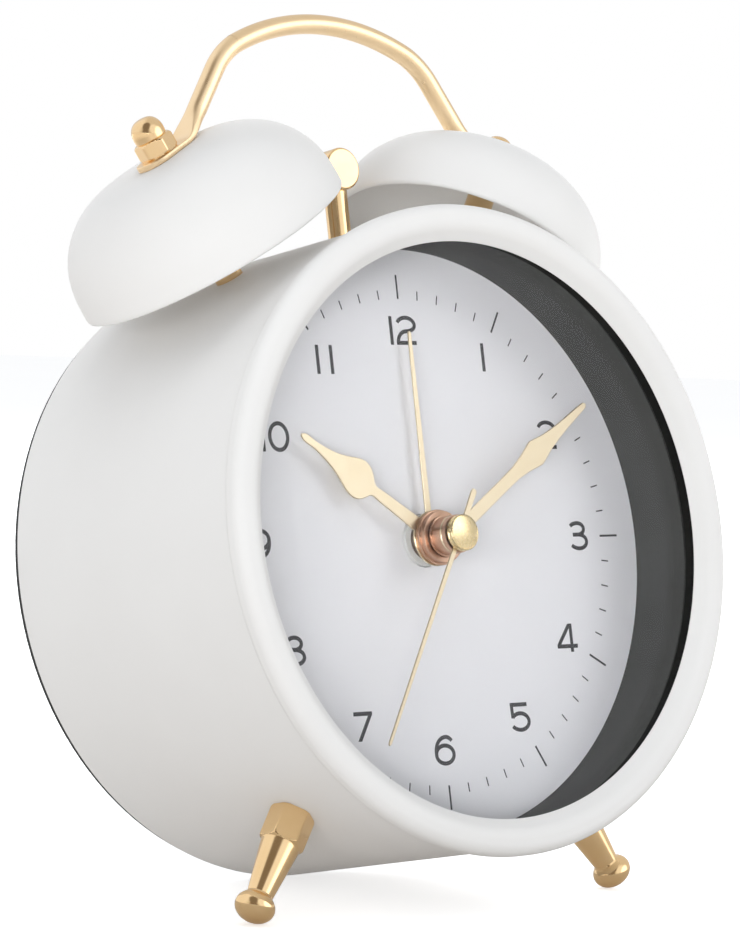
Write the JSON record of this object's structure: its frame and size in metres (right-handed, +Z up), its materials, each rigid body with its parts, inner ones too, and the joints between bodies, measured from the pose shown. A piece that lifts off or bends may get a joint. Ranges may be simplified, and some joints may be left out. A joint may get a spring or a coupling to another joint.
{
  "type": "alarm clock",
  "caption": "Free-standing bell alarm clock with a white drum case and bells, gold bow handle, hammer and feet, numbered dial with turning hands, rear setting knobs and a hinged battery door.",
  "frame": {"origin": "on the table under the middle of the clock: centre of its box in plan, at the height where its feet and rear edge stand", "axes": "+Z up from the table, -Y the way the dial faces, +X to the right seen from the front; the dial axis leans back 12 degrees"},
  "size_m": [0.1134, 0.0865, 0.1561],
  "materials": {
    "white_paint": "satin white powder coat",
    "gold_plate": "polished gold plate",
    "black_rubber": "matt black",
    "clear_lens": "clear polished",
    "dark_plastic": "matt dark grey",
    "dial_paint": "matt pale grey print ground",
    "moulded_white": "moulded white",
    "black_plastic": "fine textured black",
    "bare_steel": "zinc plated",
    "copper_wire": "enamelled copper winding",
    "acetal": "moulded acetal",
    "board_green": "solder resist",
    "hand_gold": "champagne gold, satin",
    "bush_copper": "turned copper brown",
    "cap_gold": "polished yellow gold",
    "cell_jacket": "plain printed jacket"
  },
  "bodies": {
    "case": {"battery_cells": "cell_jacket", "battery_contacts": "bare_steel", "battery_holder": "black_plastic", "bezel_ring": "white_paint", "cap_nuts": "gold_plate", "case_shell": "white_paint", "circuit_board": "board_green", "cover_screws": "bare_steel", "dial_carrier": "moulded_white", "dial_collar": "dark_plastic", "dial_plate": "dial_paint", "foot_nuts": "bare_steel", "hammer_bracket": "bare_steel", "hammer_pivot_pin": "bare_steel", "handle": "gold_plate", "left_bell": "white_paint", "left_bell_post": "gold_plate", "left_foot": "gold_plate", "lens": "clear_lens", "lens_gasket": "black_rubber", "movement_bridge": "moulded_white", "movement_housing": "moulded_white", "movement_lid": "moulded_white", "movement_screws": "bare_steel", "post_nuts": "bare_steel", "rear_cover": "black_plastic", "right_bell": "white_paint", "right_bell_post": "gold_plate", "right_foot": "gold_plate", "stepper_coil": "copper_wire", "stepper_stator": "bare_steel", "striker_coil": "copper_wire", "striker_core": "bare_steel", "switch_housing": "black_plastic"},
    "minute_hand_group": {"minute_hand": "hand_gold", "minute_hand_bush": "bush_copper", "cannon_pinion": "acetal"},
    "hour_hand_group": {"hour_hand": "hand_gold", "hour_hand_bush": "bush_copper", "hour_wheel": "acetal"},
    "motion_wheel": {"motion_wheel": "acetal"},
    "time_knob": {"time_knob": "black_plastic"},
    "second_hand_group": {"second_hand": "hand_gold", "second_hand_cap": "cap_gold", "second_wheel": "acetal"},
    "fifth_wheel": {"fifth_wheel": "acetal"},
    "stepper_rotor": {"stepper_rotor": "bare_steel"},
    "alarm_hand_group": {"alarm_hand": "hand_gold", "alarm_wheel": "acetal"},
    "alarm_knob": {"alarm_knob": "black_plastic"},
    "hammer": {"hammer_hub": "bare_steel", "hammer_stem": "gold_plate", "hammer_head": "gold_plate"},
    "alarm_switch": {"switch_slider": "black_plastic"},
    "battery_door": {"battery_door": "black_plastic"}
  },
  "joints": [
    {"name": "minute_hand_turn", "type": "hinge", "parent": "case", "child": "minute_hand_group", "pos_m": [0, -0.01227, 0.0632], "axis": [0, 0.9781, -0.2079], "continuous": true},
    {"name": "hour_hand_turn", "type": "hinge", "parent": "case", "child": "hour_hand_group", "pos_m": [0, -0.01227, 0.0632], "axis": [0, 0.9781, -0.2079], "continuous": true},
    {"name": "motion_wheel_turn", "type": "hinge", "parent": "case", "child": "motion_wheel", "pos_m": [-0.01039, -0.00178, 0.05484], "axis": [0, 0.9781, -0.2079], "continuous": true},
    {"name": "time_knob_turn", "type": "hinge", "parent": "case", "child": "time_knob", "pos_m": [-0.02079, 0.03077, 0.05405], "axis": [0, 0.9781, -0.2079], "continuous": true},
    {"name": "second_hand_turn", "type": "hinge", "parent": "case", "child": "second_hand_group", "pos_m": [0, -0.01227, 0.0632], "axis": [0, 0.9781, -0.2079], "continuous": true},
    {"name": "fifth_wheel_turn", "type": "hinge", "parent": "case", "child": "fifth_wheel", "pos_m": [0, -0.00112, 0.04831], "axis": [0, 0.9781, -0.2079], "continuous": true},
    {"name": "stepper_rotor_turn", "type": "hinge", "parent": "case", "child": "stepper_rotor", "pos_m": [0, -0.00593, 0.04013], "axis": [0, 0.9781, -0.2079], "continuous": true},
    {"name": "alarm_hand_turn", "type": "hinge", "parent": "case", "child": "alarm_hand_group", "pos_m": [0, -0.01227, 0.0632], "axis": [0, 0.9781, -0.2079], "continuous": true},
    {"name": "alarm_knob_turn", "type": "hinge", "parent": "case", "child": "alarm_knob", "pos_m": [0.016, 0.03077, 0.05405], "axis": [0, 0.9781, -0.2079], "continuous": true},
    {"name": "hammer_swing", "type": "hinge", "parent": "case", "child": "hammer", "pos_m": [0, 0.00828, 0.09973], "axis": [0, 0.9781, -0.2079], "range_deg": [-6.8, 6.8], "stiffness_Nm_per_rad": 0.02},
    {"name": "alarm_switch_slide", "type": "slide", "parent": "case", "child": "alarm_switch", "axis": [1, 0, 0], "range_m": [0, 0.005]},
    {"name": "battery_door_hinge", "type": "hinge", "parent": "case", "child": "battery_door", "pos_m": [0, 0.02249, 0.01293], "axis": [-1, 0, 0], "range_deg": [0, 75]}
  ],
  "couplings": [
    {"joint": "hour_hand_turn", "follows": "minute_hand_turn", "ratio": 0.083333},
    {"joint": "motion_wheel_turn", "follows": "minute_hand_turn", "ratio": -0.33333},
    {"joint": "time_knob_turn", "follows": "minute_hand_turn", "ratio": 1},
    {"joint": "fifth_wheel_turn", "follows": "second_hand_turn", "ratio": -6},
    {"joint": "stepper_rotor_turn", "follows": "second_hand_turn", "ratio": 30},
    {"joint": "alarm_knob_turn", "follows": "alarm_hand_turn", "ratio": -3}
  ]
}
